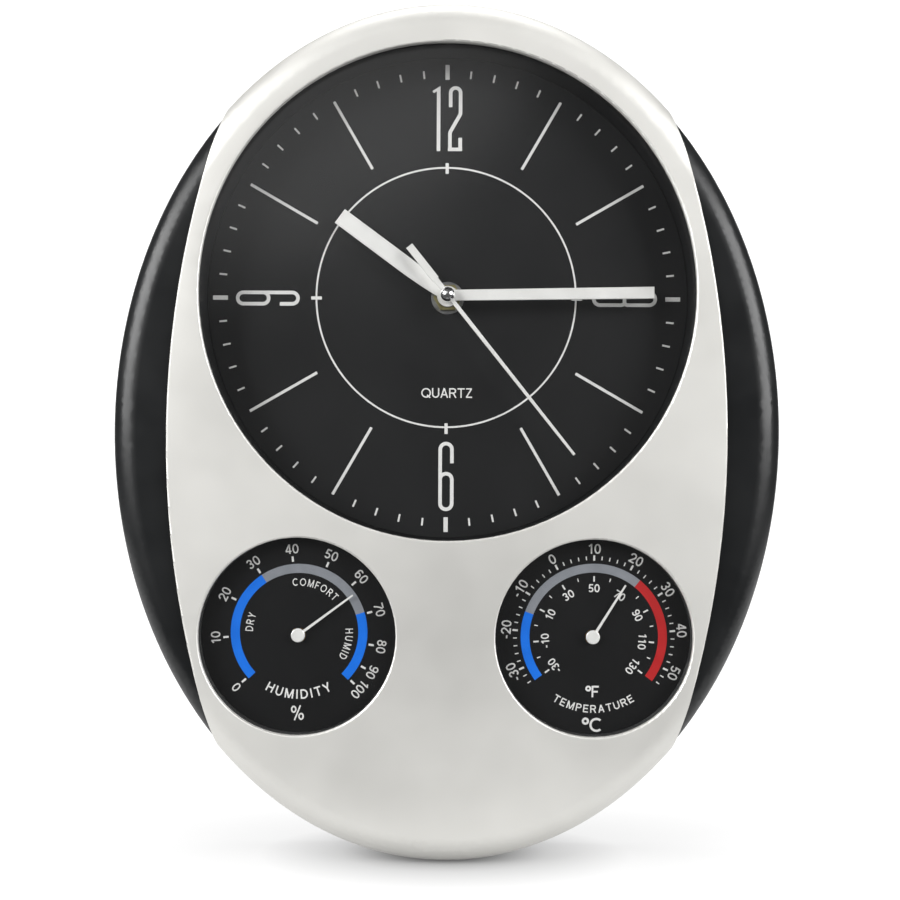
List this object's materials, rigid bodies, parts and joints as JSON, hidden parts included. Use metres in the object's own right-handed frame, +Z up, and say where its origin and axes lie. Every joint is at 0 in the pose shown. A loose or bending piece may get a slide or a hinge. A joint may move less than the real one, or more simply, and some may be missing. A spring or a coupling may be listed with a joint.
{
  "type": "thermometer hygrometer clock",
  "caption": "Oval wall clock with a large round dial, its hands on a quartz movement, and a hygrometer and a thermometer gauge below it.",
  "frame": {"origin": "middle of the hanger hole on the wall plane", "axes": "+Z up, +Y into the wall, so the face looks along -Y"},
  "size_m": [0.267, 0.04, 0.3416],
  "materials": {
    "case_plastic": "moulded black, slightly glossy",
    "bezel_silver": "satin silver lacquer",
    "clear_lens": "clear and polished",
    "dial_black": "satin black with white print",
    "gauge_dial_black": "satin black with white, blue, grey and red print",
    "hand_silver": "pale silver, bevelled edges",
    "cap_chrome": "polished",
    "nut_brass": "turned",
    "steel": "zinc-plated",
    "movement_plastic": "moulded black",
    "plate_plastic": "moulded off-white",
    "gear_plastic": "moulded off-white",
    "pinion_brass": "cut and polished",
    "gasket_rubber": "soft black",
    "magnet": "sintered dark grey",
    "winding_copper": "enamelled wire",
    "board_green": "lacquered",
    "chip_black": "cast resin",
    "crystal_can": "nickel-plated can",
    "battery_wrap": "plain printed wrap",
    "cup_plastic": "moulded dark grey",
    "gauge_brass": "rolled strip",
    "pointer_silver": "pale silver"
  },
  "bodies": {
    "case": {"rear_body": "case_plastic", "front_bezel": "bezel_silver", "bezel_screws": "steel", "clock_lens": "clear_lens", "clock_dial": "dial_black", "shaft_nut": "nut_brass", "shaft_washer": "steel", "rubber_gasket": "gasket_rubber", "movement_rear_case": "movement_plastic", "movement_front_cover": "movement_plastic", "train_plate": "plate_plastic", "stator": "steel", "coil_core": "steel", "coil_bobbin": "plate_plastic", "coil_winding": "winding_copper", "circuit_board": "board_green", "driver_chip": "chip_black", "quartz_crystal": "crystal_can", "battery_contact_plus": "steel", "battery_contact_minus": "steel", "humidity_cup": "cup_plastic", "humidity_dial": "gauge_dial_black", "humidity_lens": "clear_lens", "humidity_bridge": "gauge_brass", "humidity_coil": "gauge_brass", "temperature_cup": "cup_plastic", "temperature_dial": "gauge_dial_black", "temperature_lens": "clear_lens", "temperature_bridge": "gauge_brass", "temperature_coil": "gauge_brass"},
    "second_hand": {"second_wheel": "gear_plastic", "second_hand": "hand_silver", "second_hand_cap": "cap_chrome"},
    "third_wheel": {"third_wheel": "gear_plastic"},
    "centre_wheel": {"centre_wheel": "pinion_brass"},
    "fifth_wheel": {"fifth_wheel": "gear_plastic"},
    "rotor": {"rotor_pinion": "gear_plastic", "rotor_magnet": "magnet"},
    "minute_hand": {"minute_pipe": "pinion_brass", "minute_hand": "hand_silver"},
    "minute_work": {"minute_work_wheel": "gear_plastic"},
    "hour_hand": {"hour_wheel": "gear_plastic", "hour_hand": "hand_silver"},
    "set_knob": {"set_knob": "plate_plastic"},
    "battery": {"battery": "battery_wrap"},
    "humidity_pointer": {"humidity_staff": "steel", "humidity_pointer": "pointer_silver"},
    "temperature_pointer": {"temperature_staff": "steel", "temperature_pointer": "pointer_silver"}
  },
  "joints": [
    {"name": "second_hand_turn", "type": "hinge", "parent": "case", "child": "second_hand", "pos_m": [0, 0, -0.0852], "axis": [0, 1, 0], "continuous": true},
    {"name": "third_wheel_turn", "type": "hinge", "parent": "case", "child": "third_wheel", "pos_m": [-0.00736, 0, -0.08095], "axis": [0, 1, 0], "continuous": true},
    {"name": "centre_wheel_turn", "type": "hinge", "parent": "case", "child": "centre_wheel", "pos_m": [0, 0, -0.0852], "axis": [0, 1, 0], "continuous": true},
    {"name": "fifth_wheel_turn", "type": "hinge", "parent": "case", "child": "fifth_wheel", "pos_m": [0.00375, 0, -0.0787], "axis": [0, 1, 0], "continuous": true},
    {"name": "rotor_turn", "type": "hinge", "parent": "case", "child": "rotor", "pos_m": [0.00981, 0, -0.0752], "axis": [0, 1, 0], "continuous": true},
    {"name": "minute_hand_turn", "type": "hinge", "parent": "case", "child": "minute_hand", "pos_m": [0, 0, -0.0852], "axis": [0, 1, 0], "continuous": true},
    {"name": "minute_work_turn", "type": "hinge", "parent": "case", "child": "minute_work", "pos_m": [0.00624, 0, -0.0888], "axis": [0, 1, 0], "continuous": true},
    {"name": "hour_hand_turn", "type": "hinge", "parent": "case", "child": "hour_hand", "pos_m": [0, 0, -0.0852], "axis": [0, 1, 0], "continuous": true},
    {"name": "set_knob_turn", "type": "hinge", "parent": "case", "child": "set_knob", "pos_m": [0.01344, 0, -0.0888], "axis": [0, 1, 0], "continuous": true},
    {"name": "humidity_pointer_turn", "type": "hinge", "parent": "case", "child": "humidity_pointer", "pos_m": [-0.0583, 0, -0.2208], "axis": [0, 1, 0], "range_deg": [-182.8, 77.8], "stiffness_Nm_per_rad": 0.0002},
    {"name": "temperature_pointer_turn", "type": "hinge", "parent": "case", "child": "temperature_pointer", "pos_m": [0.0583, 0, -0.2208], "axis": [0, 1, 0], "range_deg": [-157.4, 93.4], "stiffness_Nm_per_rad": 0.0002},
    {"name": "battery_slide", "type": "slide", "parent": "case", "child": "battery", "axis": [0, 1, 0], "range_m": [0, 0.03]}
  ],
  "couplings": [
    {"joint": "third_wheel_turn", "follows": "second_hand_turn", "ratio": -0.13333},
    {"joint": "centre_wheel_turn", "follows": "second_hand_turn", "ratio": 0.016667},
    {"joint": "fifth_wheel_turn", "follows": "second_hand_turn", "ratio": -5},
    {"joint": "rotor_turn", "follows": "second_hand_turn", "ratio": 30},
    {"joint": "minute_work_turn", "follows": "minute_hand_turn", "ratio": -0.33333},
    {"joint": "hour_hand_turn", "follows": "minute_hand_turn", "ratio": 0.083333},
    {"joint": "set_knob_turn", "follows": "minute_hand_turn", "ratio": 1}
  ]
}
